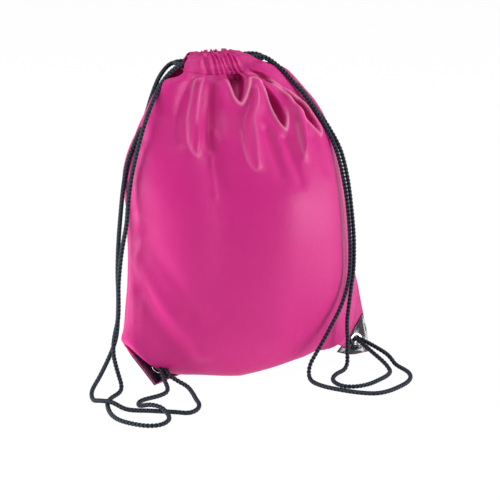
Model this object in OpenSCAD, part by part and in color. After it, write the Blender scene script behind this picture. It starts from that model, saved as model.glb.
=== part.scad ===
// Drawstring sack: a sewn polyester bag, standing full, with its mouth drawn shut by two cords.
// Origin at the bottom centre, front towards -Y, up is +Z, lengths in millimetres.

/* [Bag] */
// Width of the flat bag, edge to edge
bag_w = 370; // [320:5:430]
// Height of the flat bag, from the bottom seam to the foot of the casing
bag_h = 420; // [360:5:480]
// Front to back size of the filled bag
bag_depth = 160; // [130:5:190]
// Thickness of the cloth with its coating and folds
cloth_t = 1.6; // [1.2:0.1:2.2]
// Width of the seam allowance inside the bag
seam_allowance = 8; // [6:0.5:12]

/* [Mouth] */
// Length of the gathered mouth
mouth_w = 68; // [60:1:84]
// Height of each casing
casing_h = 23; // [21:0.5:28]
// Thickness of a gathered casing
casing_t = 13; // [12:0.5:15]
// Gap between the two casings
mouth_gap = 7; // [6:0.5:12]
// Folds along each casing
ruffle_count = 11; // [7:1:15]
// Depth of the folds of a casing
ruffle_depth = 1.6; // [0.8:0.2:2]

/* [Cords] */
// Diameter of a cord
cord_d = 4.5; // [4:0.1:5]
// Clearance of a cord in its casing, all round
cord_clearance = 0.4; // [0.3:0.1:0.6]
// Length of the cord's bend that stands out of the far end of the casing
loop_slack = 8; // [7.5:0.5:12]
// Length of straight cord that stands out of the near end of the casing
cord_stub = 8; // [6:0.5:10]

/* [Corners] */
// Leg of each triangular corner patch
patch_leg = 46; // [42:1:54]
// Thickness of a corner patch
patch_t = 1.2; // [0.8:0.1:1.6]
// Distance of the eyelet's centre from both edges of its corner
eyelet_inset = 17; // [16:0.5:19]
// Hole through an eyelet
eyelet_bore = 9.6; // [9.2:0.1:10.4]
// Outer diameter of the eyelet's flange and of its washer
eyelet_flange = 15; // [14:0.5:17]

/* [Hidden] */
$fn = 48;
eps = 0.01;
pink = "hotpink";
navy = [0.11, 0.14, 0.19];
vinyl = [0.06, 0.07, 0.1];
steel = "silver";

// The guide curves are drawn for this size of bag and stretched to the size asked for.
drawn_size = [370, 160, 420];
stretch = [bag_w / drawn_size[0], bag_depth / drawn_size[1], bag_h / drawn_size[2]];
mouth_at = [-26 * stretch[0], 32 * stretch[1], 338 * stretch[2]];
casing_y = (mouth_gap + casing_t) / 2;
left_cord_z = casing_h * 0.33;
right_cord_z = casing_h * 0.68;

// Guide curves from the bottom seam to the casing: the two side seams, the middle of each panel.
// Where they dip below the ground, the cloth is pressed flat on it.
left_seam = [[-132, -32, 5], [-158, -6, 36], [-154, 2, 76], [-149, 4, 116], [-147, 4, 156],
    [-147, 6, 196], [-144, 10, 236], [-130, 14, 272], [-102, 20, 304]];
right_seam = [[134, -40, 7], [136, -22, 50], [130, -8, 90], [124, 0, 130], [120, 4, 170],
    [116, 8, 210], [107, 12, 248], [88, 18, 282], [56, 24, 312]];
front_middle = [[0, -29, -3], [0, -52, 8], [0, -67, 46], [0, -75, 90], [0, -77, 134],
    [0, -74, 178], [-3, -63, 222], [-9, -42, 262], [-17, -12, 300]];
back_middle = [[0, -29, -3], [0, 20, -6], [0, 60, 9], [0, 79, 50], [0, 84, 96],
    [0, 82, 142], [-2, 78, 190], [-7, 72, 238], [-15, 60, 290]];

// The bottom seam, from the left corner to the right one.
bottom_seam = [[-132, -32, 5], [-102, -16, 3], [-68, -14, 1], [-34, -23, -2], [0, -29, -3],
    [34, -32, -2], [68, -37, 1], [100, -40, 4], [134, -40, 7]];
// The bottom seam draws the cloth to itself up to this share of the bag's height.
seam_reach = 0.3;

// Lengthwise and crosswise steps of the cloth grid.
rows = 32;
cols = 28;
// How far past its patch a corner stays flat, and then how far it takes to blend into the round body.
corner_margin = 24;
corner_blend = 30;
// Height above which the sides are open for the cords, as a share of the bag's height.
vent_from = 0.88;

function unit(v) = v / norm(v);
function smooth(t) = let (c = min(max(t, 0), 1)) c * c * (3 - 2 * c);
function stretched(p) = [p[0] * stretch[0], p[1] * stretch[1], p[2] * stretch[2]];

// A Catmull-Rom curve through pts, read at t from 0 to 1.
function before(pts, i) = i > 0 ? pts[i - 1] : 2 * pts[0] - pts[1];
function after(pts, i) = i < len(pts) - 1 ? pts[i + 1] : 2 * pts[i] - pts[i - 1];
function bend(a, b, c, d, f) =
    0.5 * (2 * b + (c - a) * f + (2 * a - 5 * b + 4 * c - d) * f * f + (3 * b - a - 3 * c + d) * f * f * f);
function curve(pts, t) =
    let (spans = len(pts) - 1, s = min(max(t, 0), 1) * spans, i = min(floor(s), spans - 1))
    bend(before(pts, i), pts[i], pts[i + 1], after(pts, i + 1), s - i);

left_guide = [for (p = left_seam) stretched(p), mouth_at - [mouth_w / 2, 0, 0]];
right_guide = [for (p = right_seam) stretched(p), mouth_at + [mouth_w / 2, 0, 0]];
front_guide = [for (p = front_middle) stretched(p), mouth_at - [0, casing_y, 0]];
back_guide = [for (p = back_middle) stretched(p), mouth_at + [0, casing_y, 0]];

// A corner lies flat in its own plane: its tip, the way along the bottom edge, the way up the side.
function corner(side) = side < 0
    ? let (x = unit([0.86, 0.46, -0.02]), n = unit(cross(x, [-0.50, 0.58, 0.60])))
        [stretched(left_seam[0]), x, cross(n, x), n]
    : let (x = unit([-0.99, -0.08, -0.02]), n = unit(cross([0.04, 0.36, 0.93], x)))
        [stretched(right_seam[0]), x, cross(x, n), n];
left_corner = corner(-1);
right_corner = corner(1);
function in_corner(c, p) = c[0] + c[1] * p[0] + c[2] * p[1] + c[3] * p[2];

// The cloth: u runs from side to side, v from the bottom seam to the casing, face is -1 or 1.
bottom_guide = [for (p = bottom_seam) stretched(p)];
function puff(a) = pow(max(1 - pow(a, 2.2), 0), 0.85);
function across(a, v) = a + (sin(90 * a) - a) * 0.5 * smooth(v / 0.35);
function round_cloth(u, v, face) =
    let (
        side = curve(u > 0 ? right_guide : left_guide, v),
        middle = curve(face < 0 ? front_guide : back_guide, v),
        vent = [0, face * casing_y * smooth((v - vent_from) / (1 - vent_from)), 0],
        out = across(abs(u), v),
        swell = puff(abs(u)),
        edge = side + vent
    )
    [middle[0] + (edge[0] - middle[0]) * out, edge[1] + (middle[1] - edge[1]) * swell,
        middle[2] + (edge[2] - middle[2]) * pow(abs(u), 5)];
function cloth(u, v, face) =
    let (
        to_seam = (curve(bottom_guide, (u + 1) / 2) - round_cloth(u, 0, face)) * (1 - smooth(v / seam_reach)),
        round_part = round_cloth(u, v, face) + to_seam,
        c = u > 0 ? right_corner : left_corner,
        from_side = (1 - across(abs(u), v)) * abs(c[0][0]),
        from_bottom = v * bag_h,
        flatness = 1 - smooth((from_side + from_bottom - patch_leg - corner_margin) / corner_blend)
    )
    round_part + (in_corner(c, [from_side, from_bottom, 0]) - round_part) * flatness;

function above(p, low) = [p[0], p[1], max(p[2], low)];
function at_u(j) = 2 * j / cols - 1;
function at_v(i) = i / rows;
function cloth_grid(face) = [for (i = [0:rows]) [for (j = [0:cols]) above(cloth(at_u(j), at_v(i), face), cloth_t)]];
function outward(g, i, j, face) =
    -face * unit(cross(g[i][min(j + 1, cols)] - g[i][max(j - 1, 0)], g[min(i + 1, rows)][j] - g[max(i - 1, 0)][j]));
// The top row is level, so it meets the foot of its casing.
function level(p, i) = i == rows ? [p[0], p[1], mouth_at[2]] : p;

// A closed sheet between an inner and an outer grid of points.
module sheet(inner, outer, face) {
    n = cols + 1;
    m = rows + 1;
    function id(i, j, side) = side * n * m + i * n + j;
    function quad(a, b, c, d) = face < 0 ? [[a, b, c], [a, c, d]] : [[a, c, b], [a, d, c]];
    // Cells are cut along the diagonal that runs beside the flat corners.
    function cell(a, b, c, d, j) = j < cols / 2 ? quad(b, c, d, a) : quad(a, b, c, d);
    skin = [for (i = [0:rows - 1]) for (j = [0:cols - 1]) each concat(
        cell(id(i, j, 0), id(i, j + 1, 0), id(i + 1, j + 1, 0), id(i + 1, j, 0), j),
        cell(id(i, j, 1), id(i + 1, j, 1), id(i + 1, j + 1, 1), id(i, j + 1, 1), j))];
    ends = [for (j = [0:cols - 1]) each concat(
        quad(id(0, j, 0), id(0, j, 1), id(0, j + 1, 1), id(0, j + 1, 0)),
        quad(id(rows, j, 0), id(rows, j + 1, 0), id(rows, j + 1, 1), id(rows, j, 1)))];
    sides = [for (i = [0:rows - 1]) each concat(
        quad(id(i, 0, 0), id(i + 1, 0, 0), id(i + 1, 0, 1), id(i, 0, 1)),
        quad(id(i, cols, 0), id(i, cols, 1), id(i + 1, cols, 1), id(i + 1, cols, 0)))];
    polyhedron([for (g = [inner, outer]) for (row = g) each row], concat(skin, ends, sides), convexity = 8);
}

module panel(face) {
    inner = cloth_grid(face);
    outer = [for (i = [0:rows]) [for (j = [0:cols])
        level(above(inner[i][j] + outward(inner, i, j, face) * cloth_t, 0), i)]];
    difference() {
        sheet(inner, outer, face);
        for (c = [left_corner, right_corner]) eyelet_hole(c);
    }
}

// Places its children in a corner's plane, with the front of the corner up.
module on_corner(c) {
    multmatrix([for (k = [0:2]) [c[1][k], c[2][k], c[3][k], c[0][k]]]) children();
}

barrel_d = eyelet_bore + 1.2;
flange_t = 0.8;
stack_t = cloth_t + patch_t;

module at_eyelet(c) {
    on_corner(c) translate([eyelet_inset, eyelet_inset, 0]) children();
}

module eyelet_hole(c) {
    at_eyelet(c) cylinder(h = 4 * stack_t, d = barrel_d + 0.1, center = true);
}

module patch(c, face) {
    low = face < 0 ? cloth_t : -stack_t;
    difference() {
        on_corner(c) translate([0, 0, low]) linear_extrude(patch_t) polygon([[0, 0], [patch_leg, 0], [0, patch_leg]]);
        eyelet_hole(c);
    }
}

module eyelet(c) {
    at_eyelet(c) rotate_extrude() polygon([[eyelet_bore / 2, -stack_t], [barrel_d / 2, -stack_t],
        [barrel_d / 2, stack_t], [eyelet_flange / 2, stack_t], [eyelet_flange / 2 - 0.4, stack_t + flange_t],
        [eyelet_bore / 2 + 0.3, stack_t + flange_t], [eyelet_bore / 2, stack_t + flange_t - 0.3]]);
}

module washer(c) {
    at_eyelet(c) translate([0, 0, -stack_t - flange_t]) difference() {
        cylinder(h = flange_t, d = eyelet_flange);
        translate([0, 0, -eps]) cylinder(h = flange_t + 2 * eps, d = eyelet_bore);
    }
}

// A seam allowance is a thin wedge that stands inwards from its seam.
fin_rows = 12;
fin_t = 1;
module fin(sections, flip) {
    last = 3 * (len(sections) - 1);
    function turn(t) = flip ? [t[0], t[2], t[1]] : t;
    polyhedron([for (s = sections) each s], [
        for (k = [0:3:last - 3]) for (s = [0:2]) let (a = k + s, b = k + (s + 1) % 3)
            each [turn([a, a + 3, b + 3]), turn([a, b + 3, b])],
        turn([0, 1, 2]),
        turn([last, last + 2, last + 1])]);
}

side_fin_from = 0.24;
side_fin_to = 0.84;
module side_fin(side) {
    u_in = side * (1 - 2 * seam_allowance / bag_w);
    fin([for (k = [0:fin_rows]) let (v = side_fin_from + (side_fin_to - side_fin_from) * k / fin_rows)
        let (f = cloth(u_in, v, -1), b = cloth(u_in, v, 1), half = [0, min(fin_t / 2, (b[1] - f[1]) / 6), 0])
        [cloth(side, v, -1), (f + b) / 2 - half, (f + b) / 2 + half]], side > 0);
}

bottom_fin_half = 0.25;
module bottom_fin() {
    fin([for (k = [0:fin_rows]) let (p = above(cloth(bottom_fin_half * (2 * k / fin_rows - 1), 0, -1), cloth_t))
        [p, p + [0, 0.5, seam_allowance], p + [0, 0.5 + fin_t, seam_allowance]]], false);
}

// A casing is a gathered bar with one tunnel for each cord.
module casing(face) {
    steps = ruffle_count * 8;
    wave = [for (k = [0:steps]) ruffle_depth / 2 * (cos(360 * k / 8) - 1)];
    outline = concat(
        [for (k = [0:steps]) [mouth_w * (k / steps - 0.5), -casing_t / 2 - wave[k]]],
        [for (k = [steps:-1:0]) [mouth_w * (k / steps - 0.5), casing_t / 2 + wave[k]]]);
    translate(mouth_at + [0, face * casing_y, 0]) difference() {
        linear_extrude(casing_h) polygon(outline);
        for (z = [left_cord_z, right_cord_z]) translate([0, 0, z]) rotate([0, 90, 0])
            cylinder(h = mouth_w + 2, d = cord_d + 2 * cord_clearance, center = true);
    }
}

// One cord's run: through one casing, round the far end, and back through the other.
module cord_loop(side, z) {
    far = mouth_w / 2 + loop_slack;
    run = far + mouth_w / 2 + cord_stub;
    translate(mouth_at + [0, 0, z]) mirror([side < 0 ? 0 : 1, 0, 0]) {
        for (y = [-casing_y, casing_y]) translate([far, y, 0]) rotate([0, -90, 0]) cylinder(h = run, d = cord_d);
        translate([far, 0, 0]) rotate([0, 0, -90]) rotate_extrude(angle = 180) translate([casing_y, 0]) circle(d = cord_d);
    }
}

// The strands: from the casing down beside the bag, looped on the ground, and into the eyelet.
left_back_route = [[-82, 41, 344], [-96, 36, 333], [-110, 28, 316], [-123, 17, 294], [-135, 8, 272],
    [-145, 5, 252], [-151, 4, 224], [-155, 3, 196], [-160, -2, 166], [-163, -5, 134], [-164, -8, 108],
    [-166, -11, 84], [-170, -14, 60], [-179, -16, 40], [-191, -18, 20], [-202, -22, 6], [-206, -38, 2.3],
    [-203, -52, 6], [-194, -66, 8], [-182, -80, 3], [-160, -92, 2.3], [-137, -106, 2.3], [-125, -114, 2.3],
    [-114, -110, 2.3], [-106, -98, 2.3], [-103, -80, 2.3], [-100, -62, 2.3], [-101, -50, 5], [-108, -41, 9],
    [-115, -31, 14]];
left_front_route = [[-82, 20, 343], [-98, 14, 330], [-112, 6, 312], [-125, -2, 290], [-136, -7, 265],
    [-146, -10, 240], [-151, -12, 214], [-155, -15, 188], [-162, -17, 158], [-167, -19, 124], [-169, -21, 88],
    [-175, -22, 62], [-176, -22, 44], [-172, -22, 24], [-168, -22, 8], [-170, -26, 2.3], [-177, -34, 2.3],
    [-187, -42, 2.3], [-195, -54, 2.3], [-200, -73, 2.3], [-201, -90, 2.3], [-197, -105, 2.3],
    [-187, -119, 2.3], [-175, -129, 2.3], [-162, -131, 2.3], [-151, -124, 3], [-148, -112, 5],
    [-151, -100, 8], [-159, -89, 8], [-166, -76, 3], [-163, -65, 2.3], [-154, -60, 2.3], [-142, -58, 2.3],
    [-130, -54, 2.3], [-123, -48, 4], [-122, -36, 10]];
right_front_route = [[26, 19, 353], [37, 17, 348], [50, 14, 336], [64, 11, 318], [78, 4, 298],
    [89, -6, 274], [95, -20, 248], [97, -34, 220], [97, -46, 190], [97, -53, 156], [97, -55, 130],
    [95, -57, 110], [89, -62, 94], [80, -67, 78], [67, -71, 60], [56, -73, 44], [47, -73, 30],
    [39, -73, 16], [36, -77, 5], [35, -90, 2.3], [41, -107, 2.3], [54, -124, 2.3], [68, -138, 2.3],
    [83, -147, 2.3], [99, -147, 2.3], [118, -140, 2.3], [132, -132, 2.3], [142, -121, 2.3],
    [147, -108, 2.3], [147, -95, 2.3], [144, -82, 4], [138, -70, 14]];
right_back_route = [[28, 38, 353], [42, 33, 346], [57, 27, 333], [73, 20, 313], [87, 12, 292],
    [98, 1, 269], [104, -14, 245], [105, -29, 218], [104, -41, 190], [105, -47, 156], [105, -49, 130],
    [104, -50, 112], [99, -55, 94], [94, -60, 76], [91, -62, 56], [92, -62, 38], [92, -62, 22],
    [90, -66, 7], [82, -72, 2.3], [72, -77, 2.3], [62, -86, 2.3], [57, -97, 2.3], [58, -109, 2.3],
    [64, -117, 2.3], [75, -121, 2.3], [90, -120, 2.3], [107, -113, 2.3], [120, -106, 2.3],
    [129, -97, 2.3], [132, -88, 3], [129, -78, 9]];

strand_sides = 8;
rings_per_step = 2;
cord_pair = cord_d / 2 + 0.05;

function on_ground(p) = above(stretched(p), cord_d / 2);
// The last stretch of a strand, straight into its eyelet; off is its place beside the other one.
function entry(c, off) = [for (h = [8, 3, -stack_t - flange_t])
    in_corner(c, [eyelet_inset, eyelet_inset, h]) + off];
function strand_line(side, face, z, route, off) =
    concat([mouth_at + [side * (mouth_w / 2 + cord_stub), face * casing_y, z]],
        [for (p = route) on_ground(p)], entry(side < 0 ? left_corner : right_corner, off));

// Sweeps a round tube along pts, with its rings kept from twisting.
module tube(pts) {
    last = (len(pts) - 1) * rings_per_step;
    line = [for (k = [0:last]) above(curve(pts, k / last), cord_d / 2)];
    aim = [for (k = [0:last]) k == 0 ? [pts[1][0] > pts[0][0] ? 1 : -1, 0, 0]
        : k == last ? unit(pts[len(pts) - 1] - pts[len(pts) - 2]) : unit(line[k + 1] - line[k - 1])];
    side = [for (k = 0, s = unit(cross(aim[0], [0, 0, 1])); k <= last; k = k + 1,
        s = k > last ? s : unit(s - aim[k] * (s * aim[k]))) s];
    polyhedron(
        [for (k = [0:last]) let (b = cross(aim[k], side[k])) for (a = [0:strand_sides - 1])
            let (t = (a + 0.5) * 360 / strand_sides) line[k] + (side[k] * cos(t) + b * sin(t)) * cord_d / 2],
        concat(
            [[for (a = [0:strand_sides - 1]) a]],
            [for (k = [0:last - 1]) for (a = [0:strand_sides - 1])
                let (p = k * strand_sides + a, q = k * strand_sides + (a + 1) % strand_sides)
                each [[p, p + strand_sides, q], [q, p + strand_sides, q + strand_sides]]],
            [[for (a = [strand_sides - 1:-1:0]) last * strand_sides + a]]),
        convexity = 10);
}

// The two ends of a cord are tied together behind the washer.
knot_d = 13;
knot_h = 8.5;
module knot(c) {
    r = knot_d / 2;
    at_eyelet(c) translate([0, 0, -stack_t - flange_t - knot_h]) rotate_extrude()
        polygon([[0, 0], [r - 2, 0], [r, 2], [r, knot_h - 2], [r - 2, knot_h], [0, knot_h]]);
}

module front_panel() { color(pink) panel(-1); }
module back_panel() { color(pink) panel(1); }
module left_seam_allowance() { color(pink) side_fin(-1); }
module right_seam_allowance() { color(pink) side_fin(1); }
module bottom_seam_allowance() { color(pink) bottom_fin(); }
module front_casing() { color(pink) casing(-1); }
module back_casing() { color(pink) casing(1); }
module left_front_patch() { color(vinyl) patch(left_corner, -1); }
module left_back_patch() { color(vinyl) patch(left_corner, 1); }
module right_front_patch() { color(vinyl) patch(right_corner, -1); }
module right_back_patch() { color(vinyl) patch(right_corner, 1); }
module left_eyelet() { color(steel) eyelet(left_corner); }
module left_washer() { color(steel) washer(left_corner); }
module right_eyelet() { color(steel) eyelet(right_corner); }
module right_washer() { color(steel) washer(right_corner); }
module left_cord_loop() { color(navy) cord_loop(-1, left_cord_z); }
module right_cord_loop() { color(navy) cord_loop(1, right_cord_z); }
module left_front_strand() {
    color(navy) tube(strand_line(-1, -1, left_cord_z, left_front_route, -left_corner[1] * cord_pair));
}
module left_back_strand() {
    color(navy) tube(strand_line(-1, 1, left_cord_z, left_back_route, left_corner[1] * cord_pair));
}
module right_front_strand() {
    color(navy) tube(strand_line(1, -1, right_cord_z, right_front_route, -right_corner[1] * cord_pair));
}
module right_back_strand() {
    color(navy) tube(strand_line(1, 1, right_cord_z, right_back_route, right_corner[1] * cord_pair));
}
module left_knot() { color(navy) knot(left_corner); }
module right_knot() { color(navy) knot(right_corner); }

front_panel();
back_panel();
left_seam_allowance();
right_seam_allowance();
bottom_seam_allowance();
front_casing();
back_casing();
left_front_patch();
left_back_patch();
right_front_patch();
right_back_patch();
left_eyelet();
left_washer();
right_eyelet();
right_washer();
left_cord_loop();
right_cord_loop();
left_front_strand();
left_back_strand();
right_front_strand();
right_back_strand();
left_knot();
right_knot();
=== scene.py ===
import bpy
import bmesh
import math
import numpy as np
from mathutils.kdtree import KDTree
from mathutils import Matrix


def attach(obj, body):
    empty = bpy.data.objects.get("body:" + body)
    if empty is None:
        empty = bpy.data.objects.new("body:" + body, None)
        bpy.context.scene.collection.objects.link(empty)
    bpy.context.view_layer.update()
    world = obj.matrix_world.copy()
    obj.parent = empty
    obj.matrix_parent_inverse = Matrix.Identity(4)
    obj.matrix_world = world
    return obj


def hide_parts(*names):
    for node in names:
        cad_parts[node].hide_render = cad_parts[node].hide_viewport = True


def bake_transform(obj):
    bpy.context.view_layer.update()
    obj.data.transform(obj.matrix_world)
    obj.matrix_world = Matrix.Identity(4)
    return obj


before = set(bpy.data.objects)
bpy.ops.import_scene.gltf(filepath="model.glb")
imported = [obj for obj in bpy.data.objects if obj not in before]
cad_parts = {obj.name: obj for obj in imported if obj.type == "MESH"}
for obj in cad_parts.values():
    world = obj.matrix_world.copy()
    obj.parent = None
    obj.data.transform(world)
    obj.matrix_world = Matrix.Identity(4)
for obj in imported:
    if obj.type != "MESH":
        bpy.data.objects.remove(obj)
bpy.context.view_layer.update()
mm = 0.001
scene = bpy.context.scene
print("frame loaded")

# Camera, light, floor

studio = {
    "cameraAt": (-0.6673, -1.4931, 0.6362),
    "cameraTurn": (73, 0, -24),  # degrees
    "lens": 108.36,
    "skyStrength": 0.06,
    "floorLight": 0.42,  # the lit table under the bag
    "leftBox": 46,  # watts
    "rightBox": 27,
    "topBox": 13,
    "shadowShare": 0.08,  # how much of the floor's real shadow shows
}


def addCamera():
    data = bpy.data.cameras.new("frontCamera")
    data.lens = studio["lens"]
    data.sensor_width = 36
    camera = bpy.data.objects.new("frontCamera", data)
    camera.location = studio["cameraAt"]
    camera.rotation_euler = [math.radians(a) for a in studio["cameraTurn"]]
    scene.collection.objects.link(camera)
    scene.camera = camera


def addSoftBox(name, at, aim, size, watts):
    data = bpy.data.lights.new(name, "AREA")
    data.shape = "RECTANGLE"
    data.size, data.size_y = size
    data.energy = watts
    lamp = bpy.data.objects.new(name, data)
    lamp.location = at
    away = np.array(at) - np.array(aim)
    lamp.rotation_euler = (math.atan2(math.hypot(away[0], away[1]), away[2]), 0,
                           math.atan2(away[0], -away[1]))
    scene.collection.objects.link(lamp)


def seenWhite(tree):
    # How much of a ray should meet plain white: the camera's, and what metal and gloss reflect.
    path = tree.nodes.new("ShaderNodeLightPath")
    seen = path.outputs["Is Camera Ray"]
    for other in ("Is Glossy Ray", "Is Transmission Ray"):
        both = tree.nodes.new("ShaderNodeMath")
        both.operation = "MAXIMUM"
        tree.links.new(seen, both.inputs[0])
        tree.links.new(path.outputs[other], both.inputs[1])
        seen = both.outputs[0]
    return seen


def addFloor():
    material = bpy.data.materials.new("whiteFloor")
    material.use_nodes = True
    tree = material.node_tree
    nodes, links = tree.nodes, tree.links
    nodes.clear()
    out = nodes.new("ShaderNodeOutputMaterial")
    paper = nodes.new("ShaderNodeBsdfDiffuse")
    paper.inputs["Color"].default_value = (0.8, 0.8, 0.8, 1)
    table = nodes.new("ShaderNodeEmission")
    table.inputs["Strength"].default_value = studio["floorLight"]
    lit = nodes.new("ShaderNodeAddShader")
    links.new(paper.outputs[0], lit.inputs[0])
    links.new(table.outputs[0], lit.inputs[1])
    glow = nodes.new("ShaderNodeEmission")
    glow.inputs["Color"].default_value = (1, 1, 1, 1)
    glow.inputs["Strength"].default_value = 1.03
    share = nodes.new("ShaderNodeMath")
    share.operation = "MULTIPLY"
    share.inputs[1].default_value = 1 - studio["shadowShare"]
    mix = nodes.new("ShaderNodeMixShader")
    links.new(seenWhite(tree), share.inputs[0])
    links.new(share.outputs[0], mix.inputs["Fac"])
    links.new(lit.outputs[0], mix.inputs[1])
    links.new(glow.outputs[0], mix.inputs[2])
    links.new(mix.outputs[0], out.inputs["Surface"])
    mesh = bpy.data.meshes.new("floor")
    mesh.from_pydata([(-6, -6, 0), (6, -6, 0), (6, 6, 0), (-6, 6, 0)], [], [(0, 1, 2, 3)])
    mesh.materials.append(material)
    floor = bpy.data.objects.new("floor", mesh)
    scene.collection.objects.link(floor)


def addWorld():
    world = bpy.data.worlds.new("studio")
    scene.world = world
    world.use_nodes = True
    tree = world.node_tree
    nodes, links = tree.nodes, tree.links
    nodes.clear()
    out = nodes.new("ShaderNodeOutputWorld")
    sky = nodes.new("ShaderNodeBackground")
    sky.inputs["Strength"].default_value = studio["skyStrength"]
    white = nodes.new("ShaderNodeBackground")
    white.inputs["Strength"].default_value = 1
    mix = nodes.new("ShaderNodeMixShader")
    links.new(seenWhite(tree), mix.inputs["Fac"])
    links.new(sky.outputs[0], mix.inputs[1])
    links.new(white.outputs[0], mix.inputs[2])
    links.new(mix.outputs[0], out.inputs["Surface"])


addCamera()
addSoftBox("leftBox", (-1.95, 0.42, 0.5), (0, 0, 0.16), (1.4, 1.0), studio["leftBox"])
addSoftBox("rightBox", (1.6, -1.1, 0.38), (0, 0, 0.08), (1.2, 0.7), studio["rightBox"])
addSoftBox("topBox", (-0.1, -0.25, 1.9), (0, 0, 0.3), (1.0, 0.8), studio["topBox"])
addFloor()
addWorld()
scene.view_settings.view_transform = "Standard"
print("camera, lamps and floor are in place")

# Materials


def newGroup(name, inputs, outputs):
    group = bpy.data.node_groups.new(name, "ShaderNodeTree")
    for label, kind, value in inputs:
        socket = group.interface.new_socket(label, in_out="INPUT", socket_type=kind)
        socket.default_value = value
    for label, kind in outputs:
        group.interface.new_socket(label, in_out="OUTPUT", socket_type=kind)
    return group, group.nodes.new("NodeGroupInput"), group.nodes.new("NodeGroupOutput")


def mathNode(tree, operation, a, b=None, c=None):
    node = tree.nodes.new("ShaderNodeMath")
    node.operation = operation
    for socket, value in zip(node.inputs, (a, b, c)):
        if value is None:
            continue
        if isinstance(value, (int, float)):
            socket.default_value = value
        else:
            tree.links.new(value, socket)
    return node.outputs[0]


def weaveTree():
    # Warp and weft threads cross over and under each other, laid out on the cloth's flat cut.
    group, given, put = newGroup(
        "plainWeave",
        [("Vector", "NodeSocketVector", (0, 0, 0)), ("Threads per metre", "NodeSocketFloat", 2000.0)],
        [("Height", "NodeSocketFloat"), ("Tone", "NodeSocketFloat")])
    split = group.nodes.new("ShaderNodeSeparateXYZ")
    group.links.new(given.outputs["Vector"], split.inputs[0])
    count = given.outputs["Threads per metre"]
    x = mathNode(group, "MULTIPLY", mathNode(group, "MULTIPLY", split.outputs[0], count), math.pi)
    y = mathNode(group, "MULTIPLY", mathNode(group, "MULTIPLY", split.outputs[1], count), math.pi)
    warp = mathNode(group, "ABSOLUTE", mathNode(group, "SINE", x))
    weft = mathNode(group, "ABSOLUTE", mathNode(group, "SINE", y))
    over = mathNode(group, "MULTIPLY", mathNode(group, "SINE", x), mathNode(group, "SINE", y))
    side = mathNode(group, "GREATER_THAN", over, 0.0)
    height = mathNode(group, "ADD", mathNode(group, "MULTIPLY", warp, side),
                      mathNode(group, "MULTIPLY", weft, mathNode(group, "SUBTRACT", 1.0, side)))
    group.links.new(height, put.inputs["Height"])
    group.links.new(mathNode(group, "MULTIPLY_ADD", height, 0.12, 0.92), put.inputs["Tone"])
    return group


def mottleTree():
    # Slow changes of tone, as handling and dye leave them, with a finer grain on top.
    group, given, put = newGroup(
        "mottle",
        [("Vector", "NodeSocketVector", (0, 0, 0)), ("Size", "NodeSocketFloat", 30.0),
         ("Amount", "NodeSocketFloat", 0.1)],
        [("Tone", "NodeSocketFloat"), ("Value", "NodeSocketFloat")])
    slow = group.nodes.new("ShaderNodeTexNoise")
    slow.inputs["Detail"].default_value = 4
    slow.inputs["Roughness"].default_value = 0.6
    group.links.new(given.outputs["Vector"], slow.inputs["Vector"])
    group.links.new(given.outputs["Size"], slow.inputs["Scale"])
    centred = mathNode(group, "SUBTRACT", slow.outputs["Fac"], 0.5)
    tone = mathNode(group, "MULTIPLY_ADD", centred, given.outputs["Amount"], 1.0)
    group.links.new(tone, put.inputs["Tone"])
    group.links.new(slow.outputs["Fac"], put.inputs["Value"])
    return group


plainWeave = weaveTree()
mottle = mottleTree()


def newMaterial(name):
    material = bpy.data.materials.new(name)
    material.use_nodes = True
    tree = material.node_tree
    return material, tree, tree.nodes["Principled BSDF"]


def place(tree, group, vector, **values):
    node = tree.nodes.new("ShaderNodeGroup")
    node.node_tree = group
    tree.links.new(vector, node.inputs["Vector"])
    for label, value in values.items():
        node.inputs[label.replace("_", " ")].default_value = value
    return node


def tinted(tree, colour, *tones):
    # The colour, multiplied by each tone in turn.
    tone = tones[0]
    for other in tones[1:]:
        tone = mathNode(tree, "MULTIPLY", tone, other)
    mix = tree.nodes.new("ShaderNodeMix")
    mix.data_type = "RGBA"
    mix.blend_type = "MULTIPLY"
    mix.inputs["Factor"].default_value = 1
    mix.inputs["A"].default_value = (*colour, 1)
    tree.links.new(tone, mix.inputs["B"])
    return mix.outputs["Result"]


def bumped(tree, shader, height, distance, strength=1.0, under=None):
    bump = tree.nodes.new("ShaderNodeBump")
    bump.inputs["Distance"].default_value = distance
    bump.inputs["Strength"].default_value = strength
    tree.links.new(height, bump.inputs["Height"])
    if under is not None:
        tree.links.new(under, bump.inputs["Normal"])
    if shader is not None:
        tree.links.new(bump.outputs[0], shader.inputs["Normal"])
    return bump.outputs[0]


satin = {
    "colour": (0.66, 0.020, 0.240),
    "rimHighlightColour": (0.90, 0.30, 0.50),  # painted highlight: the colour turns pale along the sharp rims of the folds, where satin catches the light
    "rimHighlightShare": 0.85,
    # painted shade: how much the pockets and casing dents are darkened
    "hollowShade": 0.35,
    "roughness": 0.42,
    "threads": 1700.0,
    "specular": 0.30,
    "sheen": 0.02,
}


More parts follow.
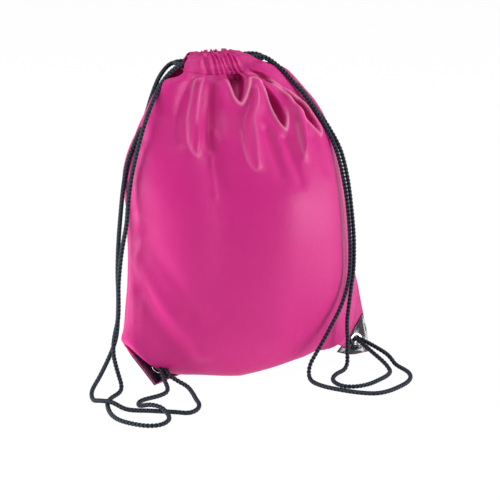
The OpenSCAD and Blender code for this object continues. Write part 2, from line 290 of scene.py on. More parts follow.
def satinCloth(name, colour=None):
    material, tree, shader = newMaterial(name)
    uv = tree.nodes.new("ShaderNodeUVMap")
    uv.uv_map = "flatCut"
    at = tree.nodes.new("ShaderNodeTexCoord").outputs["Object"]
    weave = place(tree, plainWeave, uv.outputs[0], Threads_per_metre=satin["threads"])
    dye = place(tree, mottle, at, Size=18.0, Amount=0.10)
    crinkle = place(tree, mottle, at, Size=70.0, Amount=0.08)
    # Painted highlight: this attribute pales the colour along the sharp turns of the folds.
    rimHighlightMask = tree.nodes.new("ShaderNodeAttribute")
    rimHighlightMask.attribute_name = "paintedRimHighlight"
    # Painted shade: the hollow attribute darkens the colour in the pockets and dents.
    shaded = tree.nodes.new("ShaderNodeAttribute")
    shaded.attribute_name = "hollow"
    dim = mathNode(tree, "MULTIPLY_ADD", shaded.outputs["Fac"], -satin["hollowShade"], 1.0)
    base = tinted(tree, colour or satin["colour"], weave.outputs["Tone"], dye.outputs["Tone"], dim)
    light = tree.nodes.new("ShaderNodeMix")
    light.data_type = "RGBA"
    light.inputs["B"].default_value = (*satin["rimHighlightColour"], 1)
    share = mathNode(tree, "MULTIPLY", rimHighlightMask.outputs["Fac"], satin["rimHighlightShare"])
    tree.links.new(share, light.inputs["Factor"])
    tree.links.new(base, light.inputs["A"])
    tree.links.new(light.outputs["Result"], shader.inputs["Base Color"])
    rough = mathNode(tree, "MULTIPLY_ADD", dye.outputs["Value"], 0.12, satin["roughness"] - 0.06)
    tree.links.new(rough, shader.inputs["Roughness"])
    shader.inputs["Specular IOR Level"].default_value = satin["specular"]
    shader.inputs["Sheen Weight"].default_value = satin["sheen"]
    shader.inputs["Sheen Roughness"].default_value = 0.4
    shader.inputs["Sheen Tint"].default_value = (1, 0.65, 0.8, 1)
    slow = bumped(tree, None, crinkle.outputs["Value"], 0.0012, 0.5)
    bumped(tree, shader, weave.outputs["Height"], 0.00006, 0.6, slow)
    return material


def vinylCloth():
    material, tree, shader = newMaterial("blackVinyl")
    at = tree.nodes.new("ShaderNodeTexCoord").outputs["Object"]
    wave = place(tree, mottle, at, Size=55.0, Amount=0.3)
    grain = place(tree, mottle, at, Size=900.0, Amount=0.2)
    tree.links.new(tinted(tree, (0.010, 0.012, 0.020), wave.outputs["Tone"], grain.outputs["Tone"]),
                   shader.inputs["Base Color"])
    rough = mathNode(tree, "MULTIPLY_ADD", grain.outputs["Value"], 0.14, 0.14)
    tree.links.new(rough, shader.inputs["Roughness"])
    shader.inputs["Coat Weight"].default_value = 0.6
    shader.inputs["Coat Roughness"].default_value = 0.08
    slow = bumped(tree, None, wave.outputs["Value"], 0.004, 0.55)
    bumped(tree, shader, grain.outputs["Value"], 0.0001, 0.5, slow)
    return material


def nickel():
    material, tree, shader = newMaterial("nickelPlate")
    at = tree.nodes.new("ShaderNodeTexCoord").outputs["Object"]
    haze = place(tree, mottle, at, Size=260.0, Amount=0.16)
    scratch = place(tree, mottle, at, Size=1500.0, Amount=0.1)
    tree.links.new(tinted(tree, (0.60, 0.60, 0.62), haze.outputs["Tone"], scratch.outputs["Tone"]),
                   shader.inputs["Base Color"])
    shader.inputs["Metallic"].default_value = 1
    tree.links.new(mathNode(tree, "MULTIPLY_ADD", haze.outputs["Value"], 0.2, 0.12),
                   shader.inputs["Roughness"])
    bumped(tree, shader, scratch.outputs["Value"], 0.00005, 0.4)
    return material


def braidedYarn():
    # The crown attribute is high on the yarns and low between them. Its colour ramp paints shade between the
    # yarns and a paler painted highlight on their crowns.
    material, tree, shader = newMaterial("darkBraid")
    crown = tree.nodes.new("ShaderNodeAttribute")
    crown.attribute_name = "crown"
    at = tree.nodes.new("ShaderNodeTexCoord").outputs["Object"]
    fibre = place(tree, mottle, at, Size=2600.0, Amount=0.9)
    fade = place(tree, mottle, at, Size=60.0, Amount=0.5)
    # Near black between the yarns and paler on their crowns: painted shade and painted highlight.
    yarnShadeRamp = tree.nodes.new("ShaderNodeValToRGB")
    yarnShadeRamp.color_ramp.elements[0].position = 0.5
    yarnShadeRamp.color_ramp.elements[0].color = (0.002, 0.003, 0.005, 1)
    yarnShadeRamp.color_ramp.elements[1].position = 1.0
    yarnShadeRamp.color_ramp.elements[1].color = (0.045, 0.060, 0.086, 1)
    tree.links.new(crown.outputs["Fac"], yarnShadeRamp.inputs[0])
    mix = tree.nodes.new("ShaderNodeMix")
    mix.data_type = "RGBA"
    mix.blend_type = "MULTIPLY"
    mix.inputs["Factor"].default_value = 1
    tree.links.new(yarnShadeRamp.outputs[0], mix.inputs["A"])
    tree.links.new(mathNode(tree, "MULTIPLY", fibre.outputs["Tone"], fade.outputs["Tone"]), mix.inputs["B"])
    tree.links.new(mix.outputs["Result"], shader.inputs["Base Color"])
    roughness = mathNode(tree, "MULTIPLY_ADD", fibre.outputs["Value"], 0.3, 0.4)
    tree.links.new(roughness, shader.inputs["Roughness"])
    shader.inputs["Specular IOR Level"].default_value = 0.15
    bumped(tree, shader, fibre.outputs["Value"], 0.0002, 0.6)
    return material


def sewingThread(name, colour):
    material, tree, shader = newMaterial(name)
    at = tree.nodes.new("ShaderNodeTexCoord").outputs["Object"]
    fibre = place(tree, mottle, at, Size=3000.0, Amount=0.5)
    tree.links.new(tinted(tree, colour, fibre.outputs["Tone"]), shader.inputs["Base Color"])
    shader.inputs["Roughness"].default_value = 0.5
    bumped(tree, shader, fibre.outputs["Value"], 0.0001, 0.5)
    return material


finish = {
    "panel": satinCloth("pinkSatin"),
    "vinyl": vinylCloth(),
    "metal": nickel(),
    "cord": braidedYarn(),
    "pinkThread": sewingThread("pinkThread", (0.62, 0.06, 0.27)),
    "blackThread": sewingThread("blackThread", (0.012, 0.014, 0.02)),
}
print("materials are made")

# The bag's shape, in millimetres

bag = {
    "width": 370,
    "height": 420,  # flat, to the foot of the casing
    "casingHeight": 23,
    "casingGap": 10,  # from the middle of the mouth to the middle of a casing
    "pleats": 11,  # across each panel at the mouth
    "pleatDepth": 1.6,
    "ventFrom": 0.88,
    "patchLeg": 46,
    "cloth": 0.5,
    "columns": 88,
    "rows": 104,
    "rowBunching": 0.5,
    "mouth": (-26, 32, 338),
    "mouthWidth": 68,
}
mouthAt = np.array(bag["mouth"], float)
halfMouth = np.array([bag["mouthWidth"] / 2, 0, 0])
guides = {
    "left": [[-132, -32, 5], [-158, -6, 36], [-154, 2, 76], [-149, 4, 116], [-147, 4, 156],
             [-147, 6, 196], [-144, 10, 236], [-130, 14, 272], [-102, 20, 304], mouthAt - halfMouth],
    "right": [[134, -40, 7], [136, -22, 50], [130, -8, 90], [124, 0, 130], [120, 4, 170],
              [116, 8, 210], [107, 12, 248], [88, 18, 282], [56, 24, 312], mouthAt + halfMouth],
    "front": [[0, -29, -3], [0, -52, 8], [0, -67, 46], [0, -75, 90], [0, -77, 134],
              [0, -74, 178], [-3, -63, 222], [-9, -42, 262], [-17, -12, 300],
              mouthAt - [0, bag["casingGap"], 0]],
    "back": [[0, -29, -3], [0, 20, -6], [0, 60, 9], [0, 79, 50], [0, 84, 96],
             [0, 82, 142], [-2, 78, 190], [-7, 72, 238], [-15, 60, 290],
             mouthAt + [0, bag["casingGap"], 0]],
    "bottom": [[-132, -32, 5], [-102, -16, 3], [-68, -14, 1], [-34, -23, -2], [0, -29, -3],
               [34, -32, -2], [68, -37, 1], [100, -40, 4], [134, -40, 7]],
}
guides = {name: np.array([list(p) for p in points], float) for name, points in guides.items()}


def smooth(t):
    c = np.clip(t, 0, 1)
    return c * c * (3 - 2 * c)


def unit(v):
    v = np.asarray(v, float)
    return v / np.linalg.norm(v, axis=-1, keepdims=True)


def catmull(points, t):
    # A Catmull-Rom curve through the points, read at t from 0 to 1.
    spans = len(points) - 1
    padded = np.vstack([2 * points[0] - points[1], points, 2 * points[-1] - points[-2]])
    s = np.clip(t, 0, 1) * spans
    i = np.minimum(np.floor(s).astype(int), spans - 1)
    f = (s - i)[..., None]
    a, b, c, d = padded[i], padded[i + 1], padded[i + 2], padded[i + 3]
    return 0.5 * (2 * b + (c - a) * f + (2 * a - 5 * b + 4 * c - d) * f**2 + (3 * b - a - 3 * c + d) * f**3)


def cornerFrame(side):
    # A corner's tip, the way along the bottom edge, the way up the side, and its front.
    if side < 0:
        along = unit([0.86, 0.46, -0.02])
        front = unit(np.cross(along, [-0.50, 0.58, 0.60]))
        return guides["left"][0], along, np.cross(front, along), front
    along = unit([-0.99, -0.08, -0.02])
    front = unit(np.cross([0.04, 0.36, 0.93], along))
    return guides["right"][0], along, np.cross(along, front), front


corners = {-1: cornerFrame(-1), 1: cornerFrame(1)}


def inCorner(side, along, up, out=0.0):
    # The right corner turns up a little past its eyelet.
    tip, x, y, z = corners[side]
    along = np.asarray(along, float)
    flat = tip + x * along[..., None] + y * np.asarray(up)[..., None] + z * np.asarray(out)[..., None]
    flat[..., 2] += 7 * smooth((along - 24) / 24) * (side > 0)
    return flat


def across(a, v):
    return a + (np.sin(math.pi / 2 * a) - a) * 0.5 * smooth(v / 0.35)


def roundCloth(u, v, face):
    a = np.abs(u)
    side = np.where((u > 0)[..., None], catmull(guides["right"], v), catmull(guides["left"], v))
    middle = catmull(guides["front" if face < 0 else "back"], v)
    side[..., 1] += face * bag["casingGap"] * smooth((v - bag["ventFrom"]) / (1 - bag["ventFrom"]))
    out, swell = across(a, v), np.maximum(1 - a**2.2, 0) ** 0.85
    return np.stack([middle[..., 0] + (side[..., 0] - middle[..., 0]) * out,
                     side[..., 1] + (middle[..., 1] - side[..., 1]) * swell,
                     middle[..., 2] + (side[..., 2] - middle[..., 2]) * a**5], -1)


def cornerFlatness(u, v, side):
    fromSide = (1 - across(np.abs(u), v)) * abs(corners[side][0][0])
    fromBottom = v * bag["height"]
    start, reach = (8, 24) if side < 0 else (20, 30)
    flatness = 1 - smooth((fromSide + fromBottom - bag["patchLeg"] - start) / reach)
    return fromSide, fromBottom, np.where((u > 0) == (side > 0), flatness, 0)


def filledCloth(u, v, face):
    # The filled bag without its folds: u from side to side, v from the bottom seam to the casing.
    shape = roundCloth(u, v, face)
    toSeam = catmull(guides["bottom"], (u + 1) / 2) - roundCloth(u, v * 0, face)
    shape = shape + toSeam * (1 - smooth(v / 0.3))[..., None]
    for side in (-1, 1):
        fromSide, fromBottom, flatness = cornerFlatness(u, v, side)
        flat = inCorner(side, fromSide, fromBottom, 0.0 * fromSide - face * 0.7)
        shape = shape + (flat - shape) * flatness[..., None]
    return shape


# The shoulders, as the cords leave them: at each v, how far the side seam spreads out, back and up.
shoulders = {
    -1: [(0.58, 0, 0, 0), (0.68, -6, 0, 0), (0.78, -4, 1, 0), (0.89, -9, 2, 2), (0.95, -8, 1, 5),
         (1.0, -6, 0, 8)],
    1: [(0.66, 0, 0, 0), (0.78, 8, -3, 1), (0.89, 20, 3, 1), (0.945, 18, 3, 7), (1.0, 12, 0, 10)],
}
frontLeftShoulder = [(0.58, 0, 0, 0), (0.68, -6, 0, 0), (0.80, -7, 0, 0),
                     (0.89, -15, -2, 2), (0.95, -19, -3, 4),
                     (1.0, -15, -1, 6)]
# How far the bottom seam rises
bottomLift = [(-0.2, 0), (0.0, 6), (0.2, 12), (0.4, 16), (0.6, 13), (0.74, 7), (0.84, 0)]


def drawnCloth(u, v, face):
    # The filled bag with its shoulders and the ends of its mouth spread.
    shape = filledCloth(u, v, face)
    for side, table in shoulders.items():
        if face < 0 and side < 0:
            table = frontLeftShoulder
        heights, *moves = np.array(table, float).T
        share = smooth((u * side - 0.35) / 0.65)
        for axis, move in enumerate(moves):
            shape[..., axis] += np.interp(v, heights, move) * share
    low = 1 - smooth((v - 0.04) / 0.2)
    shape[..., 2] += np.interp(u, *np.array(bottomLift, float).T) * low
    return shape


# Folds: a line over the cloth in u and v, its reach to each side in millimetres, and its height.
# A fold with a height below zero is a valley.
frontFolds = [
    {"line": [(-0.70, 0.99), (-0.66, 0.9), (-0.60, 0.81)], "reach": 5, "height": -3},
    {"line": [(-0.34, 0.99), (-0.36, 0.9), (-0.38, 0.80)], "reach": 5, "height": -4},
    {"line": [(-0.20, 0.98), (-0.22, 0.9), (-0.24, 0.82)], "reach": 11, "height": 4},
    {"line": [(0.41, 0.954), (0.24, 0.90), (0.06, 0.858), (-0.04, 0.766), (-0.05, 0.74)], "reach": 7,
     "height": 4.5},
    {"line": [(0.66, 0.90), (0.57, 0.83), (0.46, 0.77), (0.41, 0.745)], "reach": 7, "height": 5},
    {"line": [(-0.86, 0.97), (-0.86, 0.88), (-0.80, 0.78)], "reach": 15, "height": 4},
    {"line": [(-0.31, 0.90), (-0.36, 0.80), (-0.30, 0.72), (-0.22, 0.66)], "reach": 15, "height": -5},
    {"line": [(0.16, 0.83), (0.12, 0.76), (0.10, 0.70)], "reach": 7, "height": -4},
    {"line": [(0.32, 0.80), (0.27, 0.74), (0.26, 0.68)], "reach": 7, "height": -4},
    {"line": [(0.62, 0.78), (0.60, 0.70)], "reach": 9, "height": -3},
    {"line": [(-0.32, 0.84), (-0.29, 0.80)], "reach": 2.5, "height": 2},
    {"line": [(-0.36, 0.78), (-0.37, 0.66)], "reach": 3, "height": 1.5},
    {"line": [(-0.95, 0.44), (-0.78, 0.36), (-0.56, 0.27), (-0.46, 0.20)], "reach": 9, "height": 4.5},
    {"line": [(-0.90, 0.34), (-0.72, 0.26), (-0.52, 0.16)], "reach": 11, "height": -4.5},
    {"line": [(-0.88, 0.52), (-0.66, 0.42), (-0.52, 0.33)], "reach": 10, "height": -3},
    {"line": [(-0.34, 0.74), (-0.32, 0.58), (-0.38, 0.42), (-0.56, 0.28)], "reach": 24, "height": -7},
    {"line": [(0.10, 0.62), (0.0, 0.46), (-0.06, 0.26)], "reach": 30, "height": 6},
    {"line": [(0.80, 0.34), (0.62, 0.22), (0.40, 0.12)], "reach": 12, "height": -3},
    {"line": [(0.88, 0.50), (0.80, 0.36), (0.62, 0.28)], "reach": 11, "height": 2.5},
]
# Pockets are hollows between folds, tongues are flat folds that stand out, and rims are the sharp turns
# of the cloth along them.
frontPockets = [
    {"edge": [(-0.02, 1.0), (-0.03, 0.965), (-0.02, 0.93), (0.02, 0.914), (0.09, 0.925), (0.20, 0.95),
              (0.33, 0.973), (0.42, 1.0)], "depth": 10},
    {"edge": [(0.53, 0.96), (0.55, 0.925), (0.53, 0.885), (0.46, 0.848), (0.385, 0.832), (0.37, 0.862),
              (0.43, 0.905), (0.485, 0.945)], "depth": 9},
    {"edge": [(0.54, 0.998), (0.64, 0.998), (0.70, 0.97), (0.63, 0.938), (0.58, 0.962)], "depth": 7},
    {"edge": [(0.69, 0.925), (0.75, 0.90), (0.79, 0.87), (0.775, 0.81), (0.745, 0.785), (0.68, 0.843),
              (0.665, 0.895)], "depth": 9},
    {"edge": [(-0.68, 0.988), (-0.62, 0.998), (-0.54, 0.996), (-0.60, 0.985), (-0.65, 0.978)], "depth": 4},
    {"edge": [(-0.50, 0.955), (-0.45, 0.93), (-0.42, 0.88), (-0.46, 0.91)], "depth": 4},
]
frontTongues = [
    {"edge": [(-0.60, 0.96), (-0.575, 0.92), (-0.555, 0.86), (-0.525, 0.80), (-0.475, 0.776), (-0.43, 0.797),
              (-0.42, 0.85), (-0.46, 0.93), (-0.50, 0.97)], "depth": -4},
    {"edge": [(0.30, 0.945), (0.13, 0.905), (0.0, 0.87), (-0.08, 0.825), (-0.115, 0.77), (-0.09, 0.728),
              (-0.03, 0.738), (0.03, 0.80), (0.16, 0.875), (0.36, 0.935)], "depth": -3.5},
    {"edge": [(0.64, 0.885), (0.54, 0.839), (0.43, 0.779), (0.385, 0.739), (0.52, 0.771), (0.64, 0.82),
              (0.70, 0.86)], "depth": -3},
]
frontRims = [
    {"line": [(-0.11, 0.99), (-0.08, 0.965), (-0.06, 0.94), (-0.04, 0.92), (0.01, 0.907), (0.09, 0.917),
              (0.23, 0.941), (0.39, 0.965), (0.47, 0.970), (0.515, 0.960), (0.47, 0.936), (0.40, 0.901),
              (0.35, 0.860), (0.35, 0.836), (0.38, 0.826), (0.44, 0.838), (0.53, 0.866), (0.58, 0.891)],
     "lift": 2.4},
    {"line": [(0.50, 0.99), (0.57, 0.985), (0.64, 0.96), (0.67, 0.941), (0.70, 0.922)], "lift": 1.6},
    {"line": [(0.60, 0.955), (0.655, 0.925), (0.65, 0.888), (0.67, 0.833), (0.74, 0.779), (0.79, 0.787),
              (0.80, 0.83), (0.80, 0.875), (0.74, 0.907), (0.68, 0.94)], "lift": 2.0},
    {"line": [(-0.65, 0.981), (-0.70, 0.987), (-0.66, 0.996), (-0.56, 0.998), (-0.52, 0.99), (-0.60, 0.984),
              (-0.64, 0.978), (-0.58, 0.932), (-0.56, 0.868), (-0.53, 0.806), (-0.47, 0.776),
              (-0.425, 0.797)], "lift": 1.1},
    {"line": [(-0.52, 0.99), (-0.52, 0.965), (-0.51, 0.943), (-0.49, 0.91), (-0.48, 0.85)], "lift": 1.1},
    {"line": [(0.41, 0.954), (0.24, 0.905), (0.06, 0.858), (-0.04, 0.766), (-0.05, 0.739)], "lift": 0.7},
    {"line": [(-0.08, 0.846), (-0.11, 0.80), (-0.11, 0.753), (-0.08, 0.725), (-0.03, 0.738)], "lift": 0.6},
    {"line": [(0.54, 0.839), (0.43, 0.779), (0.39, 0.739), (0.46, 0.752)], "lift": 0.6},
]
backFolds = [
    {"line": [(-0.80, 0.99), (-0.78, 0.88), (-0.74, 0.78)], "reach": 10, "height": 6},
    {"line": [(-0.56, 0.99), (-0.54, 0.9), (-0.50, 0.82)], "reach": 7, "height": -8},
    {"line": [(-0.36, 0.99), (-0.34, 0.86), (-0.30, 0.72)], "reach": 10, "height": 6},
    {"line": [(-0.12, 0.99), (-0.12, 0.92), (-0.10, 0.80)], "reach": 7, "height": -9},
    {"line": [(0.10, 0.99), (0.12, 0.86), (0.12, 0.74)], "reach": 11, "height": 6},
    {"line": [(0.34, 0.99), (0.32, 0.90), (0.34, 0.80)], "reach": 7, "height": -8},
    {"line": [(0.56, 0.99), (0.54, 0.88), (0.50, 0.76)], "reach": 10, "height": 6},
    {"line": [(0.80, 0.99), (0.78, 0.88), (0.74, 0.80)], "reach": 7, "height": -7},
    {"line": [(-0.70, 0.60), (-0.40, 0.44), (-0.20, 0.22)], "reach": 16, "height": -3},
    {"line": [(0.70, 0.54), (0.46, 0.36), (0.30, 0.18)], "reach": 14, "height": 3},
]
backPockets = [
    {"edge": [(-0.22, 1.0), (-0.20, 0.94), (-0.12, 0.89), (-0.04, 0.93), (-0.02, 1.0)], "depth": 7},
    {"edge": [(0.28, 1.0), (0.27, 0.93), (0.34, 0.87), (0.42, 0.93), (0.44, 1.0)], "depth": 7},
]
backRims = [{"line": pocket["edge"], "lift": 1.8} for pocket in backPockets]


def onGrid(grid, u, v):
    # Points of the surface at u and v, read from a finely divided grid.
    columns, rows = grid.shape[1] - 1, grid.shape[0] - 1
    x = np.clip((np.asarray(u) + 1) / 2 * columns, 0, columns - 1e-6)
    y = np.clip(np.asarray(v) * rows, 0, rows - 1e-6)
    i, j = y.astype(int), x.astype(int)
    fy, fx = (y - i)[..., None], (x - j)[..., None]
    return (grid[i, j] * (1 - fy) * (1 - fx) + grid[i, j + 1] * (1 - fy) * fx
            + grid[i + 1, j] * fy * (1 - fx) + grid[i + 1, j + 1] * fy * fx)


def evenGrid(face, across=160, up=160):
    u, v = np.meshgrid(np.linspace(-1, 1, across + 1), np.linspace(0, 1, up + 1))
    return drawnCloth(u, v, face)


def lineDistance(shape, even, line, closed=False):
    # How far each point is from a line drawn on the cloth, and how far along the line that is.
    line = np.array(line + line[:1] if closed else line, float)
    steps = np.linspace(0, 1, 12 * len(line))
    drawn = catmull(line, steps)
    p = onGrid(even, drawn[:, 0], drawn[:, 1])
    best, where = np.full(shape.shape[:-1], 1e9), np.zeros(shape.shape[:-1])
    for k in range(len(p) - 1):
        a, d = p[k], p[k + 1] - p[k]
        t = np.clip(((shape - a) @ d) / max(d @ d, 1e-9), 0, 1)
        distance = np.linalg.norm(shape - a - t[..., None] * d, axis=-1)
        closer = distance < best
        best = np.where(closer, distance, best)
        where = np.where(closer, (k + t) / (len(p) - 1), where)
    return best, where


def insideRim(u, v, rim):
    # Even-odd rule, on the flat cut.
    line = catmull(np.array(rim + rim[:1], float), np.linspace(0, 1, 12 * len(rim)))
    inside = np.zeros(u.shape, bool)
    for (ua, va), (ub, vb) in zip(line[:-1], line[1:]):
        crosses = (va > v) != (vb > v)
        at = ua + (v - va) * (ub - ua) / (vb - va if vb != va else 1e-9)
        inside ^= crosses & (u < at)
    return inside


def foldHeight(shape, even, folds):
    total = np.zeros(shape.shape[:-1])
    for fold in folds:
        distance, where = lineDistance(shape, even, fold["line"])
        total += fold["height"] * np.exp(-(distance / fold["reach"]) ** 2) * (1 - 0.45 * where)
    return total


def pocketHeight(shape, u, v, even, pockets):
    # How deep each point lies in a pocket; a tongue's depth is below zero.
    total = np.zeros(u.shape)
    for pocket in pockets:
        distance, _ = lineDistance(shape, even, pocket["edge"], closed=True)
        total += pocket["depth"] * smooth(distance / 5.0) * insideRim(u, v, pocket["edge"])
    return total


def rimHeight(shape, even, rims, reach):
    total = np.zeros(shape.shape[:-1])
    for rim in rims:
        distance, where = lineDistance(shape, even, rim["line"])
        ends = smooth(where / 0.08) * smooth((1 - where) / 0.12)
        total = np.maximum(total, rim["lift"] * np.exp(-(distance / reach) ** 2) * ends)
    return total


def normalsOf(grid, face):
    a = np.gradient(grid, axis=1)
    b = np.gradient(grid, axis=0)
    return -face * unit(np.cross(a, b) + 1e-12)


def rowHeights(rows):
    # Rows lie closer together towards the mouth, where the folds are.
    t = np.linspace(0, 1, rows + 1)
    return 1 - (1 - t) * (bag["rowBunching"] + (1 - bag["rowBunching"]) * (1 - t))


def pleatWave(u, face):
    # The gathered casing: uneven pleats, tightest in the middle of the panel.
    s = (u + 0.10 * np.sin(math.pi * u + 0.4 * face) + 0.035 * np.sin(5.1 * u + face)
         + 0.02 * np.sin(11.3 * u - face))
    size = 0.75 + 0.25 * np.sin(7.3 * u + 2 * face)
    return np.cos(math.pi * bag["pleats"] * (s + 1)) * size * (1 - smooth((np.abs(u + 0.04) - 0.42) / 0.26))


def foldedCloth(face):
    u, v = np.meshgrid(np.linspace(-1, 1, bag["columns"] + 1), rowHeights(bag["rows"]))
    shape = drawnCloth(u, v, face)
    even = evenGrid(face)
    normal = normalsOf(shape, face)
    gathered = smooth((v - 0.955) / 0.045)
    outward = unit(normal * (1 - gathered)[..., None] + np.array([0, face, 0.0]) * gathered[..., None])
    edge = smooth((1 - np.abs(u)) / 0.04) * smooth(v / 0.1)
    vented = np.maximum(edge, smooth((v - bag["ventFrom"]) / 0.06))
    folds = foldHeight(shape, even, frontFolds if face < 0 else backFolds)
    folds -= pocketHeight(shape, u, v, even, frontPockets + frontTongues if face < 0 else backPockets)
    shift = (folds * (1 - 0.4 * gathered) + pleatWave(u, face) * bag["pleatDepth"] * gathered) * vented
    shift += 6.5 * smooth((v - 0.87) / 0.1)
    shape = shape + outward * shift[..., None]
    shape[..., 2] = np.maximum(shape[..., 2], 0.5)
    return u, v, shape


def gridMesh(name, points, uv=None, flip=False):
    rows, columns = points.shape[:2]
    index = np.arange(rows * columns).reshape(rows, columns)
    quads = np.stack([index[:-1, :-1], index[:-1, 1:], index[1:, 1:], index[1:, :-1]], -1).reshape(-1, 4)
    if flip:
        quads = quads[:, ::-1]
    mesh = bpy.data.meshes.new(name)
    mesh.from_pydata(points.reshape(-1, 3).tolist(), [], quads.tolist())
    if uv is not None:
        layer = mesh.uv_layers.new(name="flatCut")
        order = np.zeros(len(mesh.loops), np.int32)
        mesh.loops.foreach_get("vertex_index", order)
        layer.data.foreach_set("uv", (uv.reshape(-1, 2)[order] * mm).astype(np.float32).ravel())
    mesh.shade_smooth()
    return mesh


def addObject(name, mesh, material):
    piece = bpy.data.objects.new(name, mesh)
    if material is not None:
        mesh.materials.append(material)
    scene.collection.objects.link(piece)
    return piece


def meshCorner(piece):
    data = piece.evaluated_get(bpy.context.evaluated_depsgraph_get()).to_mesh()
    co = np.zeros(len(data.vertices) * 3, np.float32)
    data.vertices.foreach_get("co", co)
    return co.reshape(-1, 3).astype(float)


# The cloth, drawn in and filled

drape = {
    "frames": 30,
    "quality": 6,
    "pressure": 2.2,
    "weight": 0.12,  # kg a point, as the solver counts it
    "hold": 0.55,  # how firmly the filling keeps the cloth where it is
    "stretch": 25,
    "bend": 0.6,
}


def weldedBag(front):
    # Both panels as one skin, joined at the bottom and up the sides to the vents.
    rows, columns = front.shape[:2]
    count = rows * columns
    vent = int(np.searchsorted(rowHeights(bag["rows"]), bag["ventFrom"]))
    target = np.arange(2 * count)
    frontId = np.arange(count).reshape(rows, columns)
    backId = frontId + count
    target[backId[0]] = frontId[0]
    for column in (0, columns - 1):
        target[backId[:vent + 1, column]] = frontId[:vent + 1, column]
    kept, place = np.unique(target, return_inverse=True)
    quads = []
    for ids, flip in ((frontId, False), (backId, True)):
        q = np.stack([ids[:-1, :-1], ids[:-1, 1:], ids[1:, 1:], ids[1:, :-1]], -1).reshape(-1, 4)
        quads.append(q[:, ::-1] if flip else q)
    quads = place[np.concatenate(quads)]
    return kept, place[frontId], place[backId], quads


def drapeCloth():
    uFront, vFront, front = foldedCloth(-1)
    uBack, vBack, back = foldedCloth(1)
    kept, frontId, backId, quads = weldedBag(front)
    points = np.concatenate([front.reshape(-1, 3), back.reshape(-1, 3)])[kept] * mm
    flat = np.stack([np.concatenate([uFront.ravel(), uBack.ravel()])[kept] * bag["width"] / 2 * mm,
                     np.repeat([-0.5 * mm, 0.5 * mm], front.shape[0] * front.shape[1])[kept],
                     np.concatenate([vFront.ravel(), vBack.ravel()])[kept] * bag["height"] * mm], -1)
    u = np.concatenate([uFront.ravel(), uBack.ravel()])[kept]
    v = np.concatenate([vFront.ravel(), vBack.ravel()])[kept]
    mesh = bpy.data.meshes.new("draping")
    mesh.from_pydata(points.tolist(), [], quads.tolist())
    skin = bpy.data.objects.new("draping", mesh)
    scene.collection.objects.link(skin)
    skin.shape_key_add(name="Basis")
    cut = skin.shape_key_add(name="flatCut")
    cut.data.foreach_set("co", flat.ravel())
    hold = np.full(len(points), drape["hold"])
    hold = np.maximum(hold, 0.9 * smooth((np.abs(u) - 0.93) / 0.05))
    hold = np.maximum(hold, 0.85 * (1 - smooth((v - 0.06) / 0.1)))
    for side in (-1, 1):
        hold = np.maximum(hold, cornerFlatness(u, v, side)[2] ** 2)
    hold = np.maximum(hold, 1 - smooth((v - 0.004) / 0.03))
    hold = np.maximum(hold, smooth((v - 0.975) / 0.02))
    group = skin.vertex_groups.new(name="held")
    for level in np.unique(np.round(hold, 2)):
        group.add(np.nonzero(np.round(hold, 2) == level)[0].tolist(), float(level), "REPLACE")
    cloth = skin.modifiers.new("cloth", "CLOTH")
    settings = cloth.settings
    settings.quality = drape["quality"]
    settings.mass = drape["weight"]
    settings.tension_stiffness = drape["stretch"]
    settings.compression_stiffness = drape["stretch"]
    settings.shear_stiffness = 6
    settings.bending_stiffness = drape["bend"]
    settings.air_damping = 4
    settings.use_pressure = True
    settings.uniform_pressure_force = drape["pressure"]
    settings.effector_weights.gravity = 0.15
    settings.vertex_group_mass = "held"
    settings.pin_stiffness = 1
    settings.rest_shape_key = cut
    cloth.collision_settings.use_collision = False
    cloth.point_cache.frame_end = drape["frames"] + 1
    for step in range(1, drape["frames"] + 1):
        scene.frame_set(step)
    settled = meshCorner(skin)
    scene.frame_set(1)
    bpy.data.objects.remove(skin)
    bpy.data.meshes.remove(mesh)
    settled[:, 2] = np.maximum(settled[:, 2], 0.5 * mm)
    return settled, frontId, backId, u, v


settled, frontId, backId, clothU, clothV = drapeCloth()
print("the cloth is draped")

# The cords

